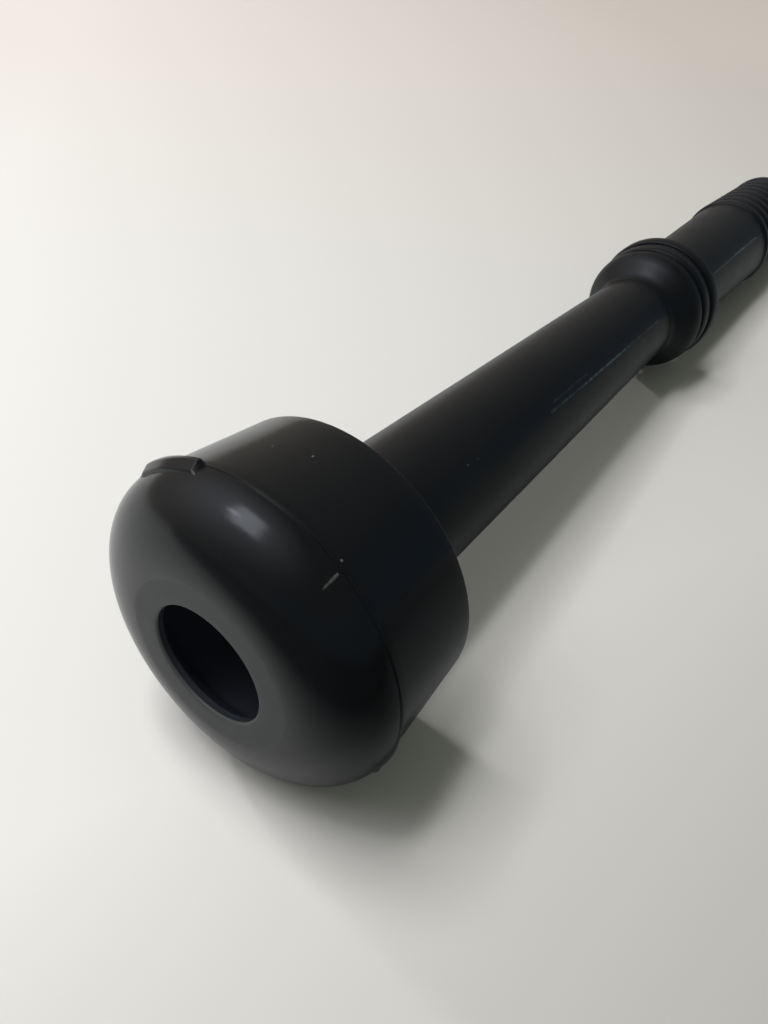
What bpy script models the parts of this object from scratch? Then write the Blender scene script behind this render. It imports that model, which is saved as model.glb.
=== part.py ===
# Teat cup liner, one moulded rubber part, standing on its mouth face.
# The origin is the centre of the mouth face. +Z is the liner's axis, with the milk tube at the top.
# Sizes in this file are in millimetres, and metres() turns them into Blender's metres.
import math

import bmesh
import bpy

# Head. Heights count up from the mouth face.
head_radius = 30.0
head_height = 10.4
mouth_radius = 11.1
lip_thickness = 1.8
lip_round = 0.45
face_radius = 15.5
parting_line_out = 0.25
parting_line_height = 0.35

# Skirt, and the ring-shaped space inside it that takes the end of the shell
skirt_step = 0.3
skirt_draft = 2.5
skirt_length = 22.1
skirt_wall = 3.2
skirt_round = 0.9
shell_space_width = 3.7
shell_space_depth = 17.9
shell_space_round = 1.0

# Mouthpiece chamber, and the neck that narrows to the barrel
neck_wall = 3.2
chamber_roof_thickness = 4.6
chamber_round = 2.2
chamber_depth = 8.9
chamber_taper_length = 15.5
neck_offset = 1.0

# Barrel
barrel_radius_head = 15.0
barrel_radius_collar = 10.95
barrel_wall_head = 2.8
barrel_wall_collar = 2.35
barrel_length = 119.5
barrel_bore_overrun = 2.0

# Collar with its shoulder, groove and two rings
shoulder_fillet = 3.5
shoulder_start = 0.2
shoulder_radius = 15.65
shoulder_length = 8.4
shoulder_blend = 40.0
groove_depth = 0.6
groove_slope = 0.7
groove_length = 2.2
first_ring_out = 0.2
first_ring_length = 3.7
fine_groove_depth = 0.3
fine_groove_length = 0.6
second_ring_out = 0.75
second_ring_length = 3.3
second_ring_slope = 0.9
ring_chamfer = 0.3
collar_back_draft = 1.0
collar_back_length = 1.4

# Milk tube with its ribbed end. The rib shares are parts of the pitch.
tube_radius_collar = 12.1
tube_radius_step = 12.35
tube_length = 46.9
tube_fillet = 1.2
tube_bore_radius = 7.4
tube_bore_offset = 0.4
rib_count = 7
rib_pitch = 4.5
rib_depth = 0.75
rib_slope_share = 0.18
rib_crest_share = 0.34
first_rib_out = 0.65
last_rib_in = 0.35
end_cuff_length = 3.6
end_round = 1.0
bore_chamfer = 0.8

# Alignment tab on the parting line, facing -Y
tab_direction = -90.0
tab_half_angle = 13.2
tab_end_chamfer = 0.9
tab_out = 1.05
tab_front_out = 0.2
tab_root_in = 1.5
tab_front_drop = 2.1
tab_crest_drop = 0.5
tab_back_rise = 0.25

segments = 44
tab_steps = 4

# Radii that follow from the ones above, from the skirt inwards
skirt_radius_top = head_radius - skirt_draft
shell_space_radius = skirt_radius_top - skirt_wall
neck_outer_radius = shell_space_radius - shell_space_width
chamber_radius = neck_outer_radius - neck_wall
barrel_bore_radius_head = barrel_radius_head - barrel_wall_head
barrel_bore_radius_collar = barrel_radius_collar - barrel_wall_collar
rib_radius_first = tube_radius_step + first_rib_out
rib_radius_last = tube_radius_step - last_rib_in

# Heights along the axis that follow from the lengths above
skirt_end = head_height + skirt_length
shell_space_floor = skirt_end - shell_space_depth
chamber_straight_end = chamber_roof_thickness + chamber_depth
chamber_end = chamber_straight_end + chamber_taper_length
neck_end = chamber_end + neck_offset
barrel_end = skirt_end + barrel_length
barrel_bore_end = barrel_end + barrel_bore_overrun
shoulder_edge = barrel_end + shoulder_length
first_ring_start = shoulder_edge + groove_length
first_ring_end = first_ring_start + first_ring_length
second_ring_start = first_ring_end + fine_groove_length
second_ring_end = second_ring_start + second_ring_length
collar_back = second_ring_end + collar_back_length
tube_step = collar_back + tube_length
tube_end = tube_step + rib_count * rib_pitch + end_cuff_length


def metres(millimetres):
    return millimetres / 1000.0


def arc(centre, radii, start, end, steps):
    """Points on an ellipse arc in the section plane. Angles are in degrees, 0 outwards and 90 up."""
    points = []
    for i in range(steps + 1):
        angle = math.radians(start + (end - start) * i / steps)
        r = centre[0] + radii[0] * math.cos(angle)
        z = centre[1] + radii[1] * math.sin(angle)
        points.append((r, z))
    return points


def s_curve(start, end, steps):
    """A smooth change of radius between two points of the section."""
    points = []
    for i in range(steps + 1):
        share = i / steps
        eased = 0.5 - 0.5 * math.cos(math.pi * share)
        r = start[0] + (end[0] - start[0]) * eased
        z = start[1] + (end[1] - start[1]) * share
        points.append((r, z))
    return points


def mouth_and_face():
    r = mouth_radius + lip_round
    return arc((r, lip_round), (lip_round, lip_round), 180, 270, 3)


def shoulder_of_head():
    width = head_radius - face_radius
    return arc((face_radius, head_height), (width, head_height), 270, 360, 12)


def parting_line():
    r = head_radius + parting_line_out
    top = head_height + parting_line_height
    return [(r, head_height), (r, top), (head_radius - skirt_step, top)]


def skirt_edge():
    outer = skirt_radius_top - skirt_round
    inner = shell_space_radius + skirt_round
    z = skirt_end - skirt_round
    radii = (skirt_round, skirt_round)
    taper = math.atan2(head_radius - skirt_step - skirt_radius_top, skirt_end - head_height)
    return arc((outer, z), radii, math.degrees(taper), 90, 3) + arc((inner, z), radii, 90, 180, 3)


def shell_space():
    z = shell_space_floor + shell_space_round
    radii = (shell_space_round, shell_space_round)
    outer = shell_space_radius - shell_space_round
    inner = neck_outer_radius + shell_space_round
    return arc((outer, z), radii, 360, 270, 3) + arc((inner, z), radii, 270, 180, 3)


def neck_outside():
    start = (neck_outer_radius, shell_space_floor + shell_space_round)
    return s_curve(start, (barrel_radius_head, neck_end), 7)[1:]


def collar_shoulder():
    fillet = (barrel_radius_collar + shoulder_fillet, barrel_end)
    radii = (shoulder_fillet, shoulder_fillet)
    hollow = arc(fillet, radii, 180, 90 + shoulder_blend, 4)
    start_radius = barrel_radius_collar + shoulder_start
    rise = (shoulder_radius - start_radius, shoulder_length - shoulder_fillet)
    return hollow + arc((start_radius, shoulder_edge), rise, 270 + shoulder_blend, 360, 6)


def collar_rings():
    groove = shoulder_radius - groove_depth
    fine_groove = shoulder_radius - fine_groove_depth
    ring = shoulder_radius + second_ring_out
    points = [(groove, shoulder_edge + groove_slope), (groove, first_ring_start)]
    crown = (fine_groove_depth + first_ring_out, 0.5 * first_ring_length)
    points += arc((fine_groove, first_ring_start + 0.5 * first_ring_length), crown, -90, 90, 6)
    points += [(fine_groove, second_ring_start)]
    points += [(ring - ring_chamfer, second_ring_start)]
    points += [(ring, second_ring_start + second_ring_slope)]
    points += [(ring, second_ring_end - ring_chamfer)]
    points += [(ring - ring_chamfer, second_ring_end)]
    points += [(shoulder_radius - collar_back_draft, collar_back)]
    return points


def tube_outside():
    centre = (tube_radius_collar + tube_fillet, collar_back + tube_fillet)
    points = arc(centre, (tube_fillet, tube_fillet), 270, 180, 3)
    points += [(tube_radius_step, tube_step)]
    return points


def ribs():
    """Ribs whose crests come in a little towards the end of the tube."""
    slope = rib_slope_share * rib_pitch
    crest = rib_crest_share * rib_pitch
    points = []
    for i in range(rib_count):
        share = i / max(rib_count - 1, 1)
        r = rib_radius_first + (rib_radius_last - rib_radius_first) * share
        z = tube_step + i * rib_pitch
        points.append((r, z + slope))
        points.append((r, z + slope + crest))
        points.append((r - rib_depth, z + slope + crest + slope))
        points.append((r - rib_depth, z + rib_pitch))
    points.append((rib_radius_last, z + rib_pitch + slope))
    return points


def tube_end_face():
    outer = rib_radius_last - end_round
    points = arc((outer, tube_end - end_round), (end_round, end_round), 0, 90, 3)
    points += [(tube_bore_radius + bore_chamfer, tube_end)]
    return points


def bore():
    points = [(tube_bore_radius, tube_end - bore_chamfer)]
    start = (tube_bore_radius, collar_back + tube_bore_offset)
    points += s_curve(start, (barrel_bore_radius_collar, barrel_bore_end), 4)
    points += s_curve((barrel_bore_radius_head, chamber_end), (chamber_radius, chamber_straight_end), 7)
    return points


def chamber_and_lip():
    centre = (chamber_radius - chamber_round, chamber_roof_thickness + chamber_round)
    points = arc(centre, (chamber_round, chamber_round), 0, -90, 4)
    inner = mouth_radius + lip_round
    z = lip_thickness - lip_round
    points += arc((inner, z), (lip_round, lip_round), 90, 180, 3)
    return points


def section():
    """The closed half section, from the mouth outwards and back down the bore."""
    points = mouth_and_face() + shoulder_of_head() + parting_line() + skirt_edge()
    points += shell_space() + neck_outside() + collar_shoulder() + collar_rings()
    points += tube_outside() + ribs() + tube_end_face() + bore() + chamber_and_lip()
    return points


def turned(points, turn, steps):
    """The section spun round Z from the +X side: a closed ring at 360 degrees, else a block with two ends."""
    mesh = bmesh.new()
    verts = [mesh.verts.new((metres(r), 0.0, metres(z))) for r, z in points]
    if turn == 360:
        profile = [mesh.edges.new((verts[i - 1], verts[i])) for i in range(len(verts))]
    else:
        profile = [mesh.faces.new(verts)]
    bmesh.ops.spin(
        mesh,
        geom=verts + profile,
        cent=(0.0, 0.0, 0.0),
        axis=(0.0, 0.0, 1.0),
        angle=math.radians(turn),
        steps=steps,
        use_merge=turn == 360,
    )
    bmesh.ops.recalc_face_normals(mesh, faces=mesh.faces)
    if mesh.calc_volume(signed=True) < 0:
        bmesh.ops.reverse_faces(mesh, faces=mesh.faces)
    return mesh


def placed(name, mesh):
    data = bpy.data.meshes.new(name)
    mesh.to_mesh(data)
    mesh.free()
    made = bpy.data.objects.new(name, data)
    bpy.context.scene.collection.objects.link(made)
    return made


def alignment_tab():
    """The tab as a short turned block. Its outer edges at both ends are chamfered."""
    root = head_radius - tab_root_in
    front = head_radius + tab_front_out
    crest = head_radius + tab_out
    points = [
        (root, head_height - tab_front_drop),
        (front, head_height - tab_front_drop),
        (crest, head_height - tab_crest_drop),
        (crest, head_height + tab_back_rise),
        (root, head_height + tab_back_rise),
    ]
    mesh = turned(points, 2 * tab_half_angle, tab_steps)
    ends = [face for face in mesh.faces if len(face.verts) == len(points)]
    middle = metres(0.5 * (root + front))
    edges = []
    for edge in {edge for face in ends for edge in face.edges}:
        if min(math.hypot(v.co.x, v.co.y) for v in edge.verts) > middle:
            edges.append(edge)
    bmesh.ops.bevel(mesh, geom=edges, offset=metres(tab_end_chamfer), segments=1, affect="EDGES")
    tab = placed("tab", mesh)
    tab.rotation_euler.z = math.radians(tab_direction - tab_half_angle)
    return tab


def rubber():
    material = bpy.data.materials.new("black_rubber")
    material.use_nodes = True
    shader = material.node_tree.nodes["Principled BSDF"]
    shader.inputs["Base Color"].default_value = (0.018, 0.018, 0.020, 1.0)
    shader.inputs["Roughness"].default_value = 0.48
    return material


for old in list(bpy.data.objects):
    bpy.data.objects.remove(old)

liner = placed("liner", turned(section(), 360, segments))
tab = alignment_tab()
tab.hide_render = True
tab.display_type = "WIRE"

join = liner.modifiers.new("tab", "BOOLEAN")
join.operation = "UNION"
join.solver = "EXACT"
join.object = tab

liner.data.materials.append(rubber())
liner.data.shade_smooth()
liner.data.set_sharp_from_angle(angle=math.radians(32))
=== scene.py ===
# Looks of the teat cup liner: finer rubber mesh, table, lights and the photograph's camera.
# Sizes of the object are in millimetres here, and metres() turns them into Blender's metres.
import math

import bpy
import numpy as np
from mathutils import Matrix, Vector

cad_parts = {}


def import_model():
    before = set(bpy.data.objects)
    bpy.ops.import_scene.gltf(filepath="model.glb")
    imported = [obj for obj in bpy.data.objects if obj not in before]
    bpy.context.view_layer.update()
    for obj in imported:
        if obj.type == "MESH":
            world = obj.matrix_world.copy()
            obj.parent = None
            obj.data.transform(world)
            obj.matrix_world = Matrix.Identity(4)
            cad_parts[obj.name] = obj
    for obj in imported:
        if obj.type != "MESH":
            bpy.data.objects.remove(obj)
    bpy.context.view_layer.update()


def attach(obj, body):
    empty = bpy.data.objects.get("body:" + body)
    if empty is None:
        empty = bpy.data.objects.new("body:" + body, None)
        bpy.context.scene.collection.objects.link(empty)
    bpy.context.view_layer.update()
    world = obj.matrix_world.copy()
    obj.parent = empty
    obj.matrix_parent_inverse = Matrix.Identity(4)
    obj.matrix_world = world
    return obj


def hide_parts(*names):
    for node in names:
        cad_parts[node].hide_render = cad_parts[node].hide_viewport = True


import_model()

# The liner's sizes, as in the solid
HEAD_RADIUS = 30.0
HEAD_HEIGHT = 10.4
MOUTH_RADIUS = 11.1
LIP_THICKNESS = 1.8
LIP_ROUND = 0.45
FACE_RADIUS = 15.5
PARTING_OUT = 0.25
PARTING_HEIGHT = 0.35
SKIRT_STEP = 0.3
NOTCH_RADIUS = 29.0
NOTCH_HEIGHT = 0.25
SKIRT_START = 11.05
SKIRT_RADIUS = 27.5
SKIRT_END = 32.5
SKIRT_ROUND = 0.9
SHELL_SPACE_RADIUS = 24.3
SHELL_SPACE_FLOOR = 14.6
SHELL_SPACE_ROUND = 1.0
NECK_RADIUS = 20.6
NECK_END = 30.0
CHAMBER_RADIUS = 17.4
CHAMBER_ROOF = 4.6
CHAMBER_ROUND = 2.2
CHAMBER_STRAIGHT_END = 13.5
CHAMBER_END = 29.0
BARREL_RADIUS_HEAD = 15.0
BARREL_RADIUS_COLLAR = 10.95
BORE_RADIUS_HEAD = 12.2
BORE_RADIUS_COLLAR = 8.6
BARREL_END = 152.0
BORE_END = 154.0
SHOULDER_FILLET = 3.5
SHOULDER_START_RADIUS = 11.15
SHOULDER_RADIUS = 15.65
SHOULDER_BLEND = 40.0
SHOULDER_EDGE = 160.4
GROOVE_RADIUS = 15.05
GROOVE_SLOPE = 0.7
FIRST_RING_START = 162.6
FIRST_RING_END = 166.3
FIRST_RING_RADIUS = 15.85
FINE_GROOVE_RADIUS = 15.35
SECOND_RING_START = 166.9
SECOND_RING_END = 170.2
SECOND_RING_RADIUS = 16.4
SECOND_RING_SLOPE = 0.9
RING_CHAMFER = 0.3
COLLAR_BACK = 171.6
COLLAR_BACK_RADIUS = 14.65
TUBE_RADIUS_COLLAR = 12.1
TUBE_RADIUS_STEP = 12.35
TUBE_FILLET = 1.2
TUBE_BORE_RADIUS = 7.4
TUBE_BORE_START = 172.0
TUBE_STEP = 218.5
RIB_COUNT = 7
RIB_PITCH = 4.5
RIB_DEPTH = 0.75
RIB_SLOPE = 0.81
RIB_CREST = 1.53
RIB_RADIUS_FIRST = 13.0
RIB_RADIUS_LAST = 12.0
TUBE_END = 253.6
END_ROUND = 1.0
BORE_CHAMFER = 0.8
TAB_DIRECTION = -90.0
TAB_HALF_ANGLE = 14.3
TAB_RAMP = 1.7
TAB_FRONT = 8.3
TAB_FRONT_RADIUS = 30.2
TAB_CREST = 9.9
TAB_BACK = 10.65
TAB_RADIUS = 31.05

# The parting ring's outline: the slope of its near edge as out and along, and the bevel of its far edge
PARTING_NEAR_EDGE = (0.04, 0.02)
PARTING_NEAR_END = 0.1
PARTING_BEVEL = 0.06
TAB_BACK_STEP = 0.02

# Marks that the mould leaves, and how finely the round form is divided, with angles in degrees
SEAM_DIRECTIONS = (-6.5, 173.5)
SEAM_HEIGHT = 0.1
SEAM_WIDTH = 0.22
CORNER_REACH = 0.22
CORNER_SHARE = 0.4
CORNER_STEPS = 3
FLAT_CORNER = 158
SHARP_EDGE = 50
SHORTEST_EDGE = 1e-6
FINE_DOME_START = 345
SKIRT_EDGE_START = 7.5
COLUMNS = 144
EDGE_ROUND = 0.35
BURR_DIRECTION = 58.7
BURR_SPREAD = 1.8
BURR_OUT = 0.35

# The parting line's uneven trimming: height in mm, waves round the ring and shift of each wave
TRIM_WAVES = ((0.035, 7, 0.4), (0.025, 19, 0.0), (0.02, 41, 1.1))

# Extra columns, in degrees from the burr, from each seam and from each bend of the tab's ends
BURR_COLUMNS = (-2.4, -1.2, 0.0, 1.2, 2.4)
SEAM_COLUMNS = (-2.4, -1.6, -1.0, -0.5, 0.0, 0.5, 1.0, 1.6, 2.4)
BEND_COLUMNS = (-0.16, 0.0, 0.16)
LEAST_COLUMN_GAP = 0.35

# How far the tab's form and the seams reach, and how far off a row may lie and still count
HEAD_EDGE_WIDTH = 1.2
ROW_SLACK = 0.05
SEAM_CLEAR_OF_NECK = 2.0
SEAM_CLEAR_OF_COLLAR = 1.0
SEAM_CLEAR_OF_STEP = 0.3

# Heights with a radius that lies within the wall there, so what is nearer the axis is the liner's inside
WALL_MIDDLE = ((CHAMBER_STRAIGHT_END, 19.2), (CHAMBER_END, 13.6), (BARREL_END, 9.8))

# The rubber's colours, its sheen and the size of its unevenness, where a larger scale is finer
RUBBER_DARK = (0.0046, 0.0052, 0.0062, 1)
RUBBER_PALE = (0.0068, 0.0072, 0.0078, 1)
# Painted light: the inside is paler than the rubber outside, standing in for the faint light seen through the
# mouth
INSIDE_PAINTED_LIGHT = (0.030, 0.033, 0.044, 1)
# Paler face round the mouth: partly wear, partly a painted reflection of the pale table
FACE_WEAR_AND_REFLECTION_COLOUR = (0.046, 0.050, 0.051, 1)
# Painted highlight: a pale line along the mouth's rounded edge
RIM_PAINTED_HIGHLIGHT = (0.075, 0.078, 0.080, 1)
DUST_COLOUR = (0.22, 0.21, 0.19, 1)
DUST_STRENGTH = 0.45
DUST_EDGE_SPAN = (0.03, 0.05)
DUST_PICK_SPAN = (0.93, 0.94)
RUBBER_IOR = 1.36
SHEEN_TINT = (0.87, 0.95, 1.0, 1)
HEAD_ROUGHNESS = (0.15, 0.20)
TUBE_ROUGHNESS = (0.26, 0.33)
COLLAR_EXTRA_ROUGHNESS = 0.08
FACE_ROUGHNESS = 0.5
TONE_SCALE = 45.0
TONE_SPAN = (0.3, 0.7)
WEAR_SCALE = 260.0
WEAR_SPAN = (0.25, 0.6)
LEAST_WEAR = 0.7
DUST_SCALE = 170.0
BLOTCH_SCALE = 90.0
BLOTCH_SPAN = (0.3, 0.7)
BROKEN_SCALE = 700.0
BROKEN_SPAN = (0.42, 0.58)
LEAST_BROKEN = 0.3
GRAIN_SCALE = 1800.0
GRAIN_STRENGTH = 0.12
GRAIN_DEPTH = 0.04

# Where the looks change, in millimetres past the edge or height that each is counted from
FACE_FADE = 1.2
FACE_DEPTH_SPAN = (0.25, 0.55)
INSIDE_START_SPAN = (0.4, 0.9)
RIM_WIDTH_SPAN = (0.05, 0.45)
RIM_DEPTH_SPAN = (0.3, 0.7)
TUBE_SHEEN_FADE = 20
COLLAR_SHEEN_SPAN = (-2, 4)

# Scratches and specks on the head, and painted highlights streaking along the barrel and tube near the seams:
# radius, direction and height of both ends of a stroke, then its half width, strength and colour
PALE_MARK = (0.34, 0.34, 0.31, 1)
# Painted highlight: the bluish pale streaks where the seams catch the light
SEAM_PAINTED_HIGHLIGHT = (0.15, 0.24, 0.28, 1)
MARKS_AND_SEAM_HIGHLIGHTS = (
    ((30.0, -24.2, 9.6), (29.75, -23.9, 8.2), 0.21, 0.6, PALE_MARK),
    ((29.78, -23.9, 8.2), (29.3, -23.5, 6.6), 0.19, 0.3, PALE_MARK),
    ((29.7, -26.3, 11.8), (29.7, -26.3, 11.9), 0.20, 0.35, PALE_MARK),
    ((28.5, -57.3, 23.1), (28.5, -57.3, 23.2), 0.16, 0.6, PALE_MARK),
    ((28.6, -70.0, 21.0), (28.6, -70.0, 21.1), 0.14, 0.3, PALE_MARK),
    ((14.2, -20.1, 57.8), (14.2, -20.1, 58.0), 0.16, 0.25, PALE_MARK),
    ((14.1, -18.7, 61.0), (14.1, -18.7, 61.2), 0.14, 0.2, PALE_MARK),
    ((13.05, -7.4, 88.0), (12.5, -6.1, 104.0), 0.26, 0.16, SEAM_PAINTED_HIGHLIGHT),
    ((12.5, -6.1, 104.0), (11.75, -4.9, 127.0), 0.24, 0.36, SEAM_PAINTED_HIGHLIGHT),
    ((11.75, -4.9, 127.0), (11.15, -4.1, 145.0), 0.22, 0.16, SEAM_PAINTED_HIGHLIGHT),
    ((13.0, -13.8, 90.0), (12.45, -13.2, 106.0), 0.18, 0.10, SEAM_PAINTED_HIGHLIGHT),
    ((12.25, -6.9, 180.0), (12.35, -6.9, 196.0), 0.26, 0.14, SEAM_PAINTED_HIGHLIGHT),
    ((12.35, -6.9, 196.0), (12.45, -6.9, 212.0), 0.26, 0.32, SEAM_PAINTED_HIGHLIGHT),
)

# The photograph's camera, and the table that the liner lies on, in the liner's own frame
CAMERA_PLACE = (114.84, -59.45, -57.22)
IMAGE_RIGHT = (0.71854, 0.33842, 0.60760)
IMAGE_UP = (-0.00134, -0.87296, 0.48780)
TABLE_UP = (0.47728, -0.87538, -0.07686)
FOCAL_PIXELS = 883.0
IMAGE_HEIGHT = 1024
SENSOR_HEIGHT = 36.0
NEAREST_SEEN = 0.005
FARTHEST_SEEN = 20.0

# The room's tones, and the direction on the table of its paler side, counted from the image's right.
# Only the rubber mirrors the uneven room, everything else is lit by the even one.
PALE_SIDE = 135.0
PALE_SPAN = (-0.35, 0.75)
LOW_SPAN = (0.1, 0.6)
PALE_HEIGHT_SPAN = (0.55, 0.85)
PALE_ABOVE = 0.25
ROOM_TOP = (0.085, 0.10, 0.115, 1)
ROOM_LOW = (0.085, 0.135, 0.19, 1)
ROOM_EVEN = (0.185, 0.198, 0.174, 1)
ROOM_PALE = (0.34, 0.305, 0.265, 1)

# The soft glow of the ceiling lights in the rubber's sheen
GLOW_SIDE = 175.0
GLOW_HEIGHT = 58.0
GLOW = (1.45, 1.38, 1.45, 1)
GLOW_SPAN = (0.5, 1.0)
BACKDROP = (0.93, 0.92, 0.91, 1)
BACKDROP_STRENGTH = 0.85

# The table's tones, paler to the left as painted light that falls off to the right. A way is right and away
# on the table, and a span is in metres along it, counted from where the head touches.
TABLE_HALF = 8.0
TABLE_ROUGHNESS = 0.75
TABLE_RIGHT = (0.53, 0.52, 0.48, 1)
TABLE_LEFT = (0.85, 0.835, 0.81, 1)
RIGHT = (1.0, 0.0)
AWAY = (0.0, 1.0)
PALER_WAY = (-0.987, -0.161)
PALER_SPAN = (-0.25, 0.08)
TABLE_FAR = (0.80, 0.68, 0.62, 1)
FAR_SPAN = (0.16, 0.42)
FAR_SHARE = 0.35
# A painted shadow that darkens the table towards its near right corner
CORNER_WAY = (0.45, -0.9)
CORNER_SPAN = (0.0, 0.1)
CORNER_SHADE = 0.66

# The table as the rubber mirrors it, with painted shade: darker to the right and near the camera, paler far
# to the right
MIRRORED_DARK_SPAN = (-0.06, 0.06)
MIRRORED_PAINTED_SHADE = 0.32
MIRRORED_NEAR_SPAN = (-0.085, -0.03)
MIRRORED_NEAR_PAINTED_SHADE = 0.10
MIRRORED_FAR_SPAN = (0.05, 0.16)
MIRRORED_RIGHT_SPAN = (0.0, 0.06)
MIRRORED_FAR_RIGHT = 2.1
MIRRORED_TINT = (0.95, 1.01, 1.07, 1)
MIRRORED_TINT_LEFT = 0.3

# Lamps: their colours, and the height of the ceiling ones over the table in millimetres
WHITE = (1.0, 0.99, 0.985)
COOL = (0.97, 0.95, 1.0)
INNER = (0.86, 0.9, 1.0)
CEILING = 2200

# Points that lamps are aimed at, in millimetres right, away and up from where the head touches
LINER_MIDDLE = (50, 20, 0)
DOME_POINT = (4, -3, 59)

# Ceiling lamps: name, right and away of the liner's middle in shares of the ceiling's height, the
# direction of the long side, size in metres and watts
CEILING_LAMPS = (
    ("far_left_lamp", -0.424, 0.294, 70, (0.65, 0.24), 8.1),
    ("middle_lamp", -0.173, 0.011, 41, (0.77, 0.27), 11.7),
    ("left_lamp", -0.469, 0.0, 109, (2.4, 0.37), 3.5),
    ("far_lamp", -0.184, 0.275, 138, (0.78, 0.29), 13.0),
)

# Other lamps: place like the points above, direction of the long side, size in metres and watts
LOW_LAMP = ((-1380, 1370, 980), (1, 0, 0), (0.12, 0.12), 8.3)
WINDOW_LAMP = ((-324, -71, 730), (0.63, 0.67, 0.40), (0.40, 0.27), 1.4)
BRIGHT_PANE = ((-411, 3, 685), (1, 0, 0), (0.05, 0.05), 0.14)

# The lamp inside the chamber: how far from the axis and how high, in shares of the chamber's sizes
INNER_OUT = 0.6
INNER_UP = 2
INNER_SIZE = (0.008, 0.008)
INNER_WATTS = 0.0004


def metres(millimetres):
    return millimetres / 1000.0


def span_past(start, span):
    """Both ends of a span in metres, given its ends in millimetres past a start."""
    return metres(start + span[0]), metres(start + span[1])


def arc(centre, radii, start, end, steps):
    """Points on an ellipse arc in the section plane. Angles are in degrees, 0 outwards and 90 up."""
    points = []
    for i in range(steps + 1):
        angle = math.radians(start + (end - start) * i / steps)
        points.append((centre[0] + radii[0] * math.cos(angle), centre[1] + radii[1] * math.sin(angle)))
    return points


def s_curve(start, end, steps):
    points = []
    for i in range(steps + 1):
        share = i / steps
        eased = 0.5 - 0.5 * math.cos(math.pi * share)
        points.append((start[0] + (end[0] - start[0]) * eased, start[1] + (end[1] - start[1]) * share))
    return points


def straight(start, end, steps):
    points = []
    for i in range(1, steps):
        share = i / steps
        points.append((start[0] + (end[0] - start[0]) * share, start[1] + (end[1] - start[1]) * share))
    return points


def head_section():
    lip = MOUTH_RADIUS + LIP_ROUND
    points = arc((lip, LIP_ROUND), (LIP_ROUND, LIP_ROUND), 180, 270, steps=5)
    points += straight(points[-1], (FACE_RADIUS, 0.0), steps=3)
    width = HEAD_RADIUS - FACE_RADIUS
    dome = (FACE_RADIUS, HEAD_HEIGHT)
    points += arc(dome, (width, HEAD_HEIGHT), 270, FINE_DOME_START, steps=34)
    points += arc(dome, (width, HEAD_HEIGHT), FINE_DOME_START + 1, 360, steps=12)
    outer = HEAD_RADIUS + PARTING_OUT
    top = HEAD_HEIGHT + PARTING_HEIGHT
    points += [(outer - PARTING_NEAR_EDGE[0], HEAD_HEIGHT + PARTING_NEAR_EDGE[1])]
    points += [(outer, HEAD_HEIGHT + PARTING_NEAR_END)]
    points += [(outer, TAB_BACK - TAB_BACK_STEP), (outer, TAB_BACK + TAB_BACK_STEP)]
    points += [(outer, top - PARTING_BEVEL), (outer - PARTING_BEVEL, top)]
    points += [(NOTCH_RADIUS, top), (NOTCH_RADIUS, top + NOTCH_HEIGHT)]
    points += [(HEAD_RADIUS - SKIRT_STEP, SKIRT_START)]
    return points


def skirt_section():
    outer = (SKIRT_RADIUS - EDGE_ROUND, SKIRT_END - EDGE_ROUND)
    inner = (SHELL_SPACE_RADIUS + SKIRT_ROUND, SKIRT_END - SKIRT_ROUND)
    edge = arc(outer, (EDGE_ROUND, EDGE_ROUND), SKIRT_EDGE_START, 90, steps=6)
    edge += arc(inner, (SKIRT_ROUND, SKIRT_ROUND), 90, 180, steps=6)
    wall = straight((HEAD_RADIUS - SKIRT_STEP, SKIRT_START), edge[0], steps=12)
    radii = (SHELL_SPACE_ROUND, SHELL_SPACE_ROUND)
    z = SHELL_SPACE_FLOOR + SHELL_SPACE_ROUND
    bottom = arc((SHELL_SPACE_RADIUS - SHELL_SPACE_ROUND, z), radii, 360, 270, steps=5)
    bottom += arc((NECK_RADIUS + SHELL_SPACE_ROUND, z), radii, 270, 180, steps=5)
    neck = s_curve((NECK_RADIUS, z), (BARREL_RADIUS_HEAD, NECK_END), steps=18)[1:]
    return wall + edge + bottom + neck


def collar_section():
    fillet = (BARREL_RADIUS_COLLAR + SHOULDER_FILLET, BARREL_END)
    points = arc(fillet, (SHOULDER_FILLET, SHOULDER_FILLET), 180, 90 + SHOULDER_BLEND, steps=8)
    rise = (SHOULDER_RADIUS - SHOULDER_START_RADIUS, SHOULDER_EDGE - BARREL_END - SHOULDER_FILLET)
    points += arc((SHOULDER_START_RADIUS, SHOULDER_EDGE), rise, 270 + SHOULDER_BLEND, 360, steps=20)
    points += [(GROOVE_RADIUS, SHOULDER_EDGE + GROOVE_SLOPE), (GROOVE_RADIUS, FIRST_RING_START)]
    middle = 0.5 * (FIRST_RING_START + FIRST_RING_END)
    crown = (FIRST_RING_RADIUS - FINE_GROOVE_RADIUS, 0.5 * (FIRST_RING_END - FIRST_RING_START))
    points += arc((FINE_GROOVE_RADIUS, middle), crown, -90, 90, steps=14)
    points += [(FINE_GROOVE_RADIUS, SECOND_RING_START)]
    points += [(SECOND_RING_RADIUS - RING_CHAMFER, SECOND_RING_START)]
    points += [(SECOND_RING_RADIUS, SECOND_RING_START + SECOND_RING_SLOPE)]
    points += [(SECOND_RING_RADIUS, SECOND_RING_END - RING_CHAMFER)]
    points += [(SECOND_RING_RADIUS - RING_CHAMFER, SECOND_RING_END)]
    points += [(COLLAR_BACK_RADIUS, COLLAR_BACK)]
    return points


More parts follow.
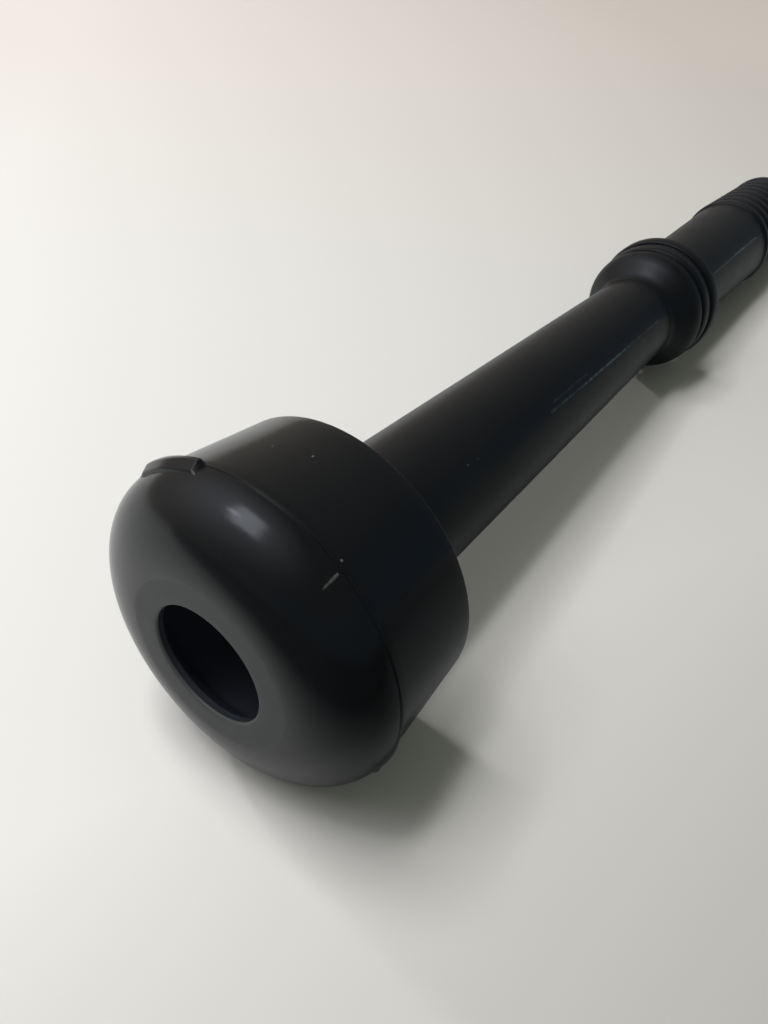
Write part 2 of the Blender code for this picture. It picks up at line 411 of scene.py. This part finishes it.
def tube_section():
    centre = (TUBE_RADIUS_COLLAR + TUBE_FILLET, COLLAR_BACK + TUBE_FILLET)
    points = arc(centre, (TUBE_FILLET, TUBE_FILLET), 270, 180, steps=6)
    points += straight(points[-1], (TUBE_RADIUS_STEP, TUBE_STEP), steps=12) + [(TUBE_RADIUS_STEP, TUBE_STEP)]
    for i in range(RIB_COUNT):
        r = RIB_RADIUS_FIRST + (RIB_RADIUS_LAST - RIB_RADIUS_FIRST) * i / (RIB_COUNT - 1)
        z = TUBE_STEP + i * RIB_PITCH
        points.append((r, z + RIB_SLOPE))
        points.append((r, z + RIB_SLOPE + RIB_CREST))
        points.append((r - RIB_DEPTH, z + RIB_SLOPE + RIB_CREST + RIB_SLOPE))
        points.append((r - RIB_DEPTH, z + RIB_PITCH))
    points.append((RIB_RADIUS_LAST, z + RIB_PITCH + RIB_SLOPE))
    points += arc((RIB_RADIUS_LAST - END_ROUND, TUBE_END - END_ROUND), (END_ROUND, END_ROUND), 0, 90, steps=5)
    points += [(TUBE_BORE_RADIUS + BORE_CHAMFER, TUBE_END)]
    return points


def bore_section():
    points = [(TUBE_BORE_RADIUS, TUBE_END - BORE_CHAMFER)]
    points += straight(points[0], (TUBE_BORE_RADIUS, TUBE_BORE_START), steps=10)
    points += s_curve((TUBE_BORE_RADIUS, TUBE_BORE_START), (BORE_RADIUS_COLLAR, BORE_END), steps=8)
    points += straight(points[-1], (BORE_RADIUS_HEAD, CHAMBER_END), steps=16)
    points += s_curve((BORE_RADIUS_HEAD, CHAMBER_END), (CHAMBER_RADIUS, CHAMBER_STRAIGHT_END), steps=16)
    centre = (CHAMBER_RADIUS - CHAMBER_ROUND, CHAMBER_ROOF + CHAMBER_ROUND)
    points += arc(centre, (CHAMBER_ROUND, CHAMBER_ROUND), 0, -90, steps=8)
    lip = (MOUTH_RADIUS + LIP_ROUND, LIP_THICKNESS - LIP_ROUND)
    points += arc(lip, (LIP_ROUND, LIP_ROUND), 90, 180, steps=5)
    return points


def softened(points):
    """The closed section with each sharp corner replaced by a small curve."""
    made = []
    count = len(points)
    for i, corner in enumerate(points):
        before = Vector(points[i - 1]) - Vector(corner)
        after = Vector(points[(i + 1) % count]) - Vector(corner)
        if min(before.length, after.length) < SHORTEST_EDGE:
            continue
        if math.degrees(before.angle(after)) > FLAT_CORNER:
            made.append(corner)
            continue
        first = Vector(corner) + before.normalized() * min(CORNER_REACH, CORNER_SHARE * before.length)
        last = Vector(corner) + after.normalized() * min(CORNER_REACH, CORNER_SHARE * after.length)
        for step in range(CORNER_STEPS + 1):
            t = step / CORNER_STEPS
            point = first * (1 - t) ** 2 + Vector(corner) * 2 * t * (1 - t) + last * t * t
            made.append((point.x, point.y))
    return made


def turn_between(first, second):
    """The smaller turn between two directions, in degrees."""
    return abs((first - second + 180) % 360 - 180)


def column_angles():
    """Even columns round the axis, with more where the tab ends, along the two seams and at the burr."""
    angles = [360.0 * i / COLUMNS for i in range(COLUMNS)]
    extra = [BURR_DIRECTION + step for step in BURR_COLUMNS]
    for side in (-1, 1):
        end = TAB_DIRECTION + side * TAB_HALF_ANGLE
        for bend in (end, end - side * TAB_RAMP):
            extra += [bend + step for step in BEND_COLUMNS]
        extra += [end - side * 0.5 * TAB_RAMP]
    for seam in SEAM_DIRECTIONS:
        extra += [seam + step for step in SEAM_COLUMNS]
    extra = [angle % 360 for angle in extra]
    kept = [a for a in angles if min(turn_between(a, e) for e in extra) > LEAST_COLUMN_GAP]
    return np.array(sorted(kept + extra))


def tab_share(angle):
    """1 on the alignment tab, 0 off it, and a ramp at each of its ends."""
    return min(max((TAB_HALF_ANGLE - turn_between(angle, TAB_DIRECTION)) / TAB_RAMP, 0.0), 1.0)


def tab_reach(z):
    """The tab's outer radius at a height."""
    rise = min(max((z - TAB_FRONT) / (TAB_CREST - TAB_FRONT), 0.0), 1.0)
    return TAB_FRONT_RADIUS + (TAB_RADIUS - TAB_FRONT_RADIUS) * rise


def seam_share(angle, radius):
    """How much of the seam's height stands at this angle."""
    share = 0.0
    for seam in SEAM_DIRECTIONS:
        off = math.radians(turn_between(angle, seam)) * radius
        share += math.exp(-((off / SEAM_WIDTH) ** 2))
    return share


def parting_waver(angle):
    """The thin flash at the parting line isn't trimmed quite evenly, and has one small burr."""
    burr = BURR_OUT * math.exp(-((turn_between(angle, BURR_DIRECTION) / BURR_SPREAD) ** 2))
    turn = math.radians(angle)
    return burr + sum(out * math.sin(count * turn + shift) for out, count, shift in TRIM_WAVES)


def wall_middle(z):
    """A radius that lies between the liner's inside and outside at a height."""
    heights, radii = zip(*WALL_MIDDLE)
    return float(np.interp(z, heights, radii))


def section_rows():
    """Each point of the section, with whether it is on the head's edge, on the flash and on a seamed wall."""
    outside = head_section() + skirt_section() + collar_section() + tube_section()
    top = HEAD_HEIGHT + PARTING_HEIGHT
    rows = []
    for r, z in softened(outside + bore_section()):
        on_head_edge = r > HEAD_RADIUS - HEAD_EDGE_WIDTH and TAB_FRONT - ROW_SLACK <= z <= TAB_BACK
        on_flash = r > HEAD_RADIUS + PARTING_OUT - ROW_SLACK and z < top + ROW_SLACK
        on_barrel = NECK_END + SEAM_CLEAR_OF_NECK < z < BARREL_END - SEAM_CLEAR_OF_COLLAR
        on_tube = COLLAR_BACK + SEAM_CLEAR_OF_NECK < z < TUBE_STEP - SEAM_CLEAR_OF_STEP
        rows.append((r, z, on_head_edge, on_flash, (on_barrel or on_tube) and r > wall_middle(z)))
    return rows


def liner_mesh():
    rows = section_rows()
    angles = column_angles()
    corners = np.zeros((len(angles), len(rows), 3))
    for i, angle in enumerate(angles):
        share = tab_share(angle)
        turn = math.radians(angle)
        for j, (r, z, on_head_edge, on_flash, on_wall) in enumerate(rows):
            if on_flash:
                r += parting_waver(angle)
            if on_head_edge and share > 0:
                r += share * max(tab_reach(z) - r, 0.0)
            if on_wall:
                r += SEAM_HEIGHT * seam_share(angle, r)
            corners[i, j] = (r * math.cos(turn), r * math.sin(turn), z)
    index = np.arange(len(angles) * len(rows)).reshape(len(angles), len(rows))
    ahead = np.roll(index, -1, axis=0)
    faces = np.stack([index, ahead, np.roll(ahead, -1, axis=1), np.roll(index, -1, axis=1)], axis=-1)
    mesh = bpy.data.meshes.new("liner_rubber")
    mesh.from_pydata((corners.reshape(-1, 3) / 1000.0).tolist(), [], faces.reshape(-1, 4).tolist())
    mesh.update()
    mesh.shade_smooth()
    mesh.set_sharp_from_angle(angle=math.radians(SHARP_EDGE))
    return mesh


def node(tree, kind, **values):
    made = tree.nodes.new(kind)
    for name, value in values.items():
        setattr(made, name, value)
    return made


def noise(tree, place, scale, detail=2.0, roughness=0.5):
    made = node(tree, "ShaderNodeTexNoise")
    made.inputs["Scale"].default_value = scale
    made.inputs["Detail"].default_value = detail
    made.inputs["Roughness"].default_value = roughness
    tree.links.new(place, made.inputs["Vector"])
    return made.outputs["Fac"]


def ranged(tree, value, low, high, to_low, to_high):
    made = node(tree, "ShaderNodeMapRange")
    made.inputs["From Min"].default_value = low
    made.inputs["From Max"].default_value = high
    made.inputs["To Min"].default_value = to_low
    made.inputs["To Max"].default_value = to_high
    tree.links.new(value, made.inputs["Value"])
    return made.outputs["Result"]


def connected(tree, value, socket):
    """A socket is linked, and a plain number or colour is set."""
    if isinstance(value, bpy.types.NodeSocket):
        tree.links.new(value, socket)
    else:
        socket.default_value = value


def worked_out(tree, operation, first, second):
    made = node(tree, "ShaderNodeMath", operation=operation)
    tree.links.new(first, made.inputs[0])
    tree.links.new(second, made.inputs[1])
    return made.outputs["Value"]


def multiplied(tree, first, second):
    return worked_out(tree, "MULTIPLY", first, second)


def blended(tree, share, first, second):
    """A number that goes from the first to the second by the share."""
    made = node(tree, "ShaderNodeMix", data_type="FLOAT")
    tree.links.new(share, made.inputs["Factor"])
    connected(tree, first, made.inputs["A"])
    connected(tree, second, made.inputs["B"])
    return made.outputs["Result"]


def mixed(tree, share, first, second, blend="MIX"):
    """A colour that goes from the first to the second by the share."""
    made = node(tree, "ShaderNodeMix", data_type="RGBA", blend_type=blend)
    tree.links.new(share, made.inputs["Factor"])
    connected(tree, first, made.inputs["A"])
    connected(tree, second, made.inputs["B"])
    return made.outputs["Result"]


def along(tree, place, direction):
    """How far a place lies along a direction."""
    made = node(tree, "ShaderNodeVectorMath", operation="DOT_PRODUCT")
    tree.links.new(place, made.inputs[0])
    made.inputs[1].default_value = tuple(direction)
    return made.outputs["Value"]


def stroke(tree, place, start, end, half_width):
    """1 within a short stroke between two points of the liner, given as radius, direction and height."""
    points = []
    for radius, direction, height in (start, end):
        turn = math.radians(direction)
        points.append(Vector((radius * math.cos(turn), radius * math.sin(turn), height)) / 1000.0)
    length = points[1] - points[0]
    away = node(tree, "ShaderNodeVectorMath", operation="SUBTRACT")
    tree.links.new(place, away.inputs[0])
    away.inputs[1].default_value = tuple(points[0])
    share = ranged(tree, along(tree, away.outputs["Vector"], length), 0.0, length.length_squared, 0.0, 1.0)
    nearest = node(tree, "ShaderNodeVectorMath", operation="SCALE")
    nearest.inputs[0].default_value = tuple(length)
    tree.links.new(share, nearest.inputs["Scale"])
    gap = node(tree, "ShaderNodeVectorMath", operation="DISTANCE")
    tree.links.new(away.outputs["Vector"], gap.inputs[0])
    tree.links.new(nearest.outputs["Vector"], gap.inputs[1])
    return ranged(tree, gap.outputs["Value"], metres(0.5 * half_width), metres(1.5 * half_width), 1.0, 0.0)


def height_and_radius(tree, place):
    """How high a place lies on the liner, and how far from its axis."""
    parts = node(tree, "ShaderNodeSeparateXYZ")
    tree.links.new(place, parts.inputs["Vector"])
    flat = node(tree, "ShaderNodeCombineXYZ")
    tree.links.new(parts.outputs["X"], flat.inputs["X"])
    tree.links.new(parts.outputs["Y"], flat.inputs["Y"])
    reach = node(tree, "ShaderNodeVectorMath", operation="LENGTH")
    tree.links.new(flat.outputs["Vector"], reach.inputs[0])
    return parts.outputs["Z"], reach.outputs["Value"]


def rubber_tone(tree, place):
    ramp = node(tree, "ShaderNodeValToRGB")
    dark, pale = ramp.color_ramp.elements
    dark.position, pale.position = TONE_SPAN
    dark.color = RUBBER_DARK
    pale.color = RUBBER_PALE
    tree.links.new(noise(tree, place, TONE_SCALE, detail=4.0), ramp.inputs["Fac"])
    return ramp.outputs["Color"]


def worn_face_and_painted_reflection(tree, place, height, radius):
    """1 on the flat ring round the mouth, unevenly: its paler colour is partly wear and partly a painted
    reflection of the pale table.
    """
    ring = ranged(tree, radius, *span_past(FACE_RADIUS, (0.0, FACE_FADE)), 1.0, 0.0)
    front = ranged(tree, height, *span_past(0.0, FACE_DEPTH_SPAN), 1.0, 0.0)
    uneven = ranged(tree, noise(tree, place, WEAR_SCALE, detail=4.0), *WEAR_SPAN, LEAST_WEAR, 1.0)
    return multiplied(tree, multiplied(tree, ring, front), uneven)


def painted_inside_light_share(tree, height, radius):
    """1 on every wall that looks towards the axis, from just behind the mouth's edge, where a paler colour is
    painted as light.
    """
    (chamber, wide), (bore, middle), (collar, narrow) = WALL_MIDDLE
    to_bore = ranged(tree, height, metres(chamber), metres(bore), metres(wide), metres(middle))
    to_collar = ranged(tree, height, metres(bore), metres(collar), 0.0, metres(narrow - middle))
    limit = worked_out(tree, "ADD", to_bore, to_collar)
    behind = ranged(tree, height, *span_past(0.0, INSIDE_START_SPAN), 0.0, 1.0)
    return multiplied(tree, worked_out(tree, "LESS_THAN", radius, limit), behind)


def mouth_rim_highlight(tree, height, radius):
    """1 along the mouth's edge, where a pale line is painted as a highlight."""
    edge = ranged(tree, radius, *span_past(MOUTH_RADIUS, RIM_WIDTH_SPAN), 1.0, 0.0)
    return multiplied(tree, edge, ranged(tree, height, *span_past(0.0, RIM_DEPTH_SPAN), 1.0, 0.0))


def dust(tree, place):
    """A few pale specks, in one cell of fifteen."""
    specks = node(tree, "ShaderNodeTexVoronoi", feature="F1")
    specks.inputs["Scale"].default_value = DUST_SCALE
    tree.links.new(place, specks.inputs["Vector"])
    spot = ranged(tree, specks.outputs["Distance"], *DUST_EDGE_SPAN, 1.0, 0.0)
    pick = node(tree, "ShaderNodeSeparateColor")
    tree.links.new(specks.outputs["Color"], pick.inputs["Color"])
    return multiplied(tree, spot, ranged(tree, pick.outputs["Red"], *DUST_PICK_SPAN, 0.0, DUST_STRENGTH))


def marked_and_highlighted(tree, place, colour):
    """The colour with each scratch and speck over it, and the painted highlights along the seams."""
    broken = noise(tree, place, BROKEN_SCALE, detail=3.0)
    for start, end, half_width, strength, over in MARKS_AND_SEAM_HIGHLIGHTS:
        stroke_share = stroke(tree, place, start, end, half_width)
        uneven = ranged(tree, broken, *BROKEN_SPAN, LEAST_BROKEN * strength, strength)
        colour = mixed(tree, multiplied(tree, stroke_share, uneven), colour, over)
    return colour


def sheen(tree, place, height, worn_and_painted_reflection):
    """How rough the surface is: smoothest on the head, rougher from the barrel on, matt on the face."""
    blotches = noise(tree, place, BLOTCH_SCALE, detail=3.0, roughness=0.6)
    head = ranged(tree, blotches, *BLOTCH_SPAN, *HEAD_ROUGHNESS)
    tube = ranged(tree, blotches, *BLOTCH_SPAN, *TUBE_ROUGHNESS)
    past_head = ranged(tree, height, *span_past(NECK_END, (0.0, TUBE_SHEEN_FADE)), 0.0, 1.0)
    body = blended(tree, past_head, head, tube)
    collar_span = span_past(BARREL_END, COLLAR_SHEEN_SPAN)
    collar = ranged(tree, height, *collar_span, 0.0, COLLAR_EXTRA_ROUGHNESS)
    return blended(tree, worn_and_painted_reflection, worked_out(tree, "ADD", body, collar), FACE_ROUGHNESS)


def grain(tree, place):
    bump = node(tree, "ShaderNodeBump")
    bump.inputs["Strength"].default_value = GRAIN_STRENGTH
    bump.inputs["Distance"].default_value = metres(GRAIN_DEPTH)
    tree.links.new(noise(tree, place, GRAIN_SCALE), bump.inputs["Height"])
    return bump.outputs["Normal"]


def rubber():
    """Black moulded rubber: uneven sheen, a matt face round the mouth whose paler colour is partly wear and
    partly painted reflection, a paler inside as painted light, a painted highlight on the mouth's rim, dust,
    scratches and painted highlights along the seams.
    """
    material = bpy.data.materials.new("black_rubber_look")
    material.use_nodes = True
    tree = material.node_tree
    shader = tree.nodes["Principled BSDF"]
    shader.inputs["IOR"].default_value = RUBBER_IOR
    shader.inputs["Specular Tint"].default_value = SHEEN_TINT
    place = node(tree, "ShaderNodeTexCoord").outputs["Object"]
    height, radius = height_and_radius(tree, place)
    worn_and_painted_reflection = worn_face_and_painted_reflection(tree, place, height, radius)
    # The inside's paler colour is painted light, the face's is partly wear and partly painted reflection, and
    # the rim's pale line is a painted highlight
    colour = mixed(tree, painted_inside_light_share(tree, height, radius), rubber_tone(tree, place), INSIDE_PAINTED_LIGHT)
    colour = mixed(tree, worn_and_painted_reflection, colour, FACE_WEAR_AND_REFLECTION_COLOUR)
    colour = mixed(tree, mouth_rim_highlight(tree, height, radius), colour, RIM_PAINTED_HIGHLIGHT)
    colour = mixed(tree, dust(tree, place), colour, DUST_COLOUR)
    tree.links.new(marked_and_highlighted(tree, place, colour), shader.inputs["Base Color"])
    tree.links.new(sheen(tree, place, height, worn_and_painted_reflection), shader.inputs["Roughness"])
    tree.links.new(grain(tree, place), shader.inputs["Normal"])
    return material


def table_place(right, away, up):
    """A point given in millimetres from where the head touches the table, in the table's own directions."""
    return table_origin + (x_table * right + y_table * away + z_table * up) / 1000.0


def table_direction(side, rise):
    """A direction given by its angle on the table, from the image's right, and its angle over the table."""
    side = math.radians(side)
    rise = math.radians(rise)
    flat = x_table * math.cos(side) + y_table * math.sin(side)
    return flat * math.cos(rise) + z_table * math.sin(rise)


def lamp(name, place, target, long_side, size, watts, colour):
    """A rectangular lamp turned to its target, with its long side along a direction on the table."""
    data = bpy.data.lights.new(name, "AREA")
    data.shape = "RECTANGLE"
    data.size = size[0]
    data.size_y = size[1]
    data.energy = watts
    data.color = colour
    made = bpy.data.objects.new(name, data)
    made.visible_camera = False
    bpy.context.scene.collection.objects.link(made)
    back = (place - target).normalized()
    right = x_table * long_side[0] + y_table * long_side[1] + z_table * long_side[2]
    right = (right - back * right.dot(back)).normalized()
    turn = Matrix((right, back.cross(right), back)).transposed().to_4x4()
    made.matrix_world = Matrix.Translation(place) @ turn
    return made


def ceiling_lamp(name, right, away, turned, size, watts):
    """A lamp that faces straight down at the ceiling's height and isn't mirrored in the rubber."""
    under = table_place(LINER_MIDDLE[0] + right * CEILING, LINER_MIDDLE[1] + away * CEILING, 0)
    turn = math.radians(turned)
    long_side = (math.cos(turn), math.sin(turn), 0)
    place = under + z_table * metres(CEILING)
    lamp(name, place, under, long_side, size, watts, WHITE).visible_glossy = False


def across_table(tree, place, way, span, first, last):
    """A value that goes from the first to the last over a span of the table, along a way on it."""
    direction = x_table * way[0] + y_table * way[1]
    start = direction.dot(table_origin)
    return ranged(tree, along(tree, place, direction), start + span[0], start + span[1], first, last)


def table_colour(tree, place, right_share, glossy):
    """Pale, with painted light that makes it paler to the left and darker to the right, warmer far away, and
    cooler where the rubber mirrors its right side.
    """
    paler = across_table(tree, place, PALER_WAY, PALER_SPAN, 0.0, 1.0)
    colour = mixed(tree, paler, TABLE_RIGHT, TABLE_LEFT)
    far = across_table(tree, place, AWAY, FAR_SPAN, 0.0, FAR_SHARE)
    colour = mixed(tree, far, colour, TABLE_FAR)
    cool = ranged(tree, right_share, 0.0, 1.0, MIRRORED_TINT_LEFT, 1.0)
    return mixed(tree, multiplied(tree, cool, glossy), colour, MIRRORED_TINT, "MULTIPLY")


def table_shade(tree, place, right_share, glossy):
    """How much of the table's colour stays: less towards the near right corner as a painted shadow, and less
    where the rubber mirrors it as painted shade.
    """
    corner = across_table(tree, place, CORNER_WAY, CORNER_SPAN, 1.0, CORNER_SHADE)
    far_share = across_table(tree, place, AWAY, MIRRORED_FAR_SPAN, 0.0, 1.0)
    far_right = multiplied(tree, far_share, right_share)
    dark = across_table(tree, place, RIGHT, MIRRORED_DARK_SPAN, 1.0, MIRRORED_PAINTED_SHADE)
    dark = multiplied(tree, dark, ranged(tree, far_right, 0.0, 1.0, 1.0, MIRRORED_FAR_RIGHT))
    dark = multiplied(tree, dark, across_table(tree, place, AWAY, MIRRORED_NEAR_SPAN, MIRRORED_NEAR_PAINTED_SHADE, 1.0))
    return multiplied(tree, corner, blended(tree, glossy, 1.0, dark))


def table_material():
    """Pale matt table, seen only from above, so that it hides nothing from behind."""
    material = bpy.data.materials.new("pale_table")
    material.use_nodes = True
    tree = material.node_tree
    shader = tree.nodes["Principled BSDF"]
    shader.inputs["Roughness"].default_value = TABLE_ROUGHNESS
    place = node(tree, "ShaderNodeTexCoord").outputs["Object"]
    glossy = node(tree, "ShaderNodeLightPath").outputs["Is Glossy Ray"]
    right_share = across_table(tree, place, RIGHT, MIRRORED_RIGHT_SPAN, 0.0, 1.0)
    scaled = node(tree, "ShaderNodeVectorMath", operation="SCALE")
    tree.links.new(table_colour(tree, place, right_share, glossy), scaled.inputs[0])
    tree.links.new(table_shade(tree, place, right_share, glossy), scaled.inputs["Scale"])
    tree.links.new(scaled.outputs["Vector"], shader.inputs["Base Color"])
    clear = node(tree, "ShaderNodeBsdfTransparent")
    face = node(tree, "ShaderNodeNewGeometry")
    mix = node(tree, "ShaderNodeMixShader")
    tree.links.new(face.outputs["Backfacing"], mix.inputs["Fac"])
    tree.links.new(shader.outputs[0], mix.inputs[1])
    tree.links.new(clear.outputs[0], mix.inputs[2])
    tree.links.new(mix.outputs[0], tree.nodes["Material Output"].inputs["Surface"])
    return material


def table():
    corners = []
    for right, away in ((-1, -1), (1, -1), (1, 1), (-1, 1)):
        corners.append(tuple(table_origin + (x_table * right + y_table * away) * TABLE_HALF))
    mesh = bpy.data.meshes.new("table")
    mesh.from_pydata(corners, [], [(0, 1, 2, 3)])
    made = bpy.data.objects.new("table", mesh)
    bpy.context.scene.collection.objects.link(made)
    mesh.materials.append(table_material())
    return made


def room_colour(tree, place):
    """Dim cool room with a paler, warmer side to the left and away, and the ceiling lights' glow."""
    height = along(tree, place, z_table)
    dim = mixed(tree, ranged(tree, height, *LOW_SPAN, 0.0, 1.0), ROOM_LOW, ROOM_TOP)
    side = ranged(tree, along(tree, place, table_direction(PALE_SIDE, 0)), *PALE_SPAN, 0.0, 1.0)
    share = multiplied(tree, side, ranged(tree, height, *PALE_HEIGHT_SPAN, 1.0, PALE_ABOVE))
    room = mixed(tree, share, dim, ROOM_PALE)
    glow_way = table_direction(GLOW_SIDE, GLOW_HEIGHT)
    halo = ranged(tree, along(tree, place, glow_way), *GLOW_SPAN, 0.0, 1.0)
    return mixed(tree, multiplied(tree, halo, halo), room, GLOW)


def world():
    """The uneven room where the rubber mirrors it, an even one for light, and a pale backdrop."""
    made = bpy.data.worlds.new("studio")
    bpy.context.scene.world = made
    made.use_nodes = True
    tree = made.node_tree
    place = node(tree, "ShaderNodeTexCoord").outputs["Generated"]
    path = node(tree, "ShaderNodeLightPath")
    room = mixed(tree, path.outputs["Is Glossy Ray"], ROOM_EVEN, room_colour(tree, place))
    light = tree.nodes["Background"]
    tree.links.new(room, light.inputs["Color"])
    seen = node(tree, "ShaderNodeBackground")
    seen.inputs["Color"].default_value = BACKDROP
    seen.inputs["Strength"].default_value = BACKDROP_STRENGTH
    mix = node(tree, "ShaderNodeMixShader")
    tree.links.new(path.outputs["Is Camera Ray"], mix.inputs["Fac"])
    tree.links.new(light.outputs[0], mix.inputs[1])
    tree.links.new(seen.outputs[0], mix.inputs[2])
    tree.links.new(mix.outputs[0], tree.nodes["World Output"].inputs["Surface"])


def aimed_lamp(name, described, target, colour):
    """One of the other lamps, aimed at a point."""
    place, long_side, size, watts = described
    return lamp(name, table_place(*place), table_place(*target), long_side, size, watts, colour)


def chamber_light():
    """A very weak lamp on the chamber's near side, which lights the wall that shows through the mouth."""
    towards_camera = Vector((CAMERA_PLACE[0], CAMERA_PLACE[1], 0.0)).normalized()
    near_side = towards_camera * metres(INNER_OUT * CHAMBER_RADIUS)
    place = near_side + Vector((0.0, 0.0, metres(INNER_UP * CHAMBER_ROOF)))
    made = lamp("inner_light", place, place - near_side, (0, 0, 1), INNER_SIZE, INNER_WATTS, INNER)
    made.visible_glossy = False


def lamps():
    """Lamps that shape the table's shadows, one in the chamber, and two that the dome mirrors."""
    for name, right, away, turned, size, watts in CEILING_LAMPS:
        ceiling_lamp(name, right, away, turned, size, watts)
    aimed_lamp("low_lamp", LOW_LAMP, LINER_MIDDLE, WHITE).visible_glossy = False
    aimed_lamp("window_lamp", WINDOW_LAMP, DOME_POINT, COOL)
    chamber_light()
    aimed_lamp("bright_pane", BRIGHT_PANE, DOME_POINT, COOL)


def camera():
    data = bpy.data.cameras.new("camera")
    data.sensor_fit = "VERTICAL"
    data.sensor_height = SENSOR_HEIGHT
    data.lens = FOCAL_PIXELS / IMAGE_HEIGHT * SENSOR_HEIGHT
    data.clip_start = NEAREST_SEEN
    data.clip_end = FARTHEST_SEEN
    made = bpy.data.objects.new("camera", data)
    bpy.context.scene.collection.objects.link(made)
    right = Vector(IMAGE_RIGHT).normalized()
    back = right.cross(Vector(IMAGE_UP)).normalized()
    up = back.cross(right)
    turn = Matrix((right, up, back)).transposed().to_4x4()
    made.matrix_world = Matrix.Translation(Vector(CAMERA_PLACE) / 1000.0) @ turn
    bpy.context.scene.camera = made


liner = bpy.data.objects.new("liner_rubber", liner_mesh())
bpy.context.scene.collection.objects.link(liner)
liner.data.materials.append(rubber())
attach(liner, "root")
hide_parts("liner")

z_table = Vector(TABLE_UP).normalized()
x_table = Vector(IMAGE_RIGHT)
x_table = (x_table - z_table * x_table.dot(z_table)).normalized()
y_table = z_table.cross(x_table)
down = Vector((-z_table.x, -z_table.y, 0.0)).normalized()
ring_height = HEAD_HEIGHT + 0.5 * PARTING_HEIGHT
table_origin = (down * (HEAD_RADIUS + PARTING_OUT) + Vector((0.0, 0.0, ring_height))) / 1000.0

camera()
floor = table()
world()
lamps()

bpy.context.scene.view_settings.view_transform = "Standard"
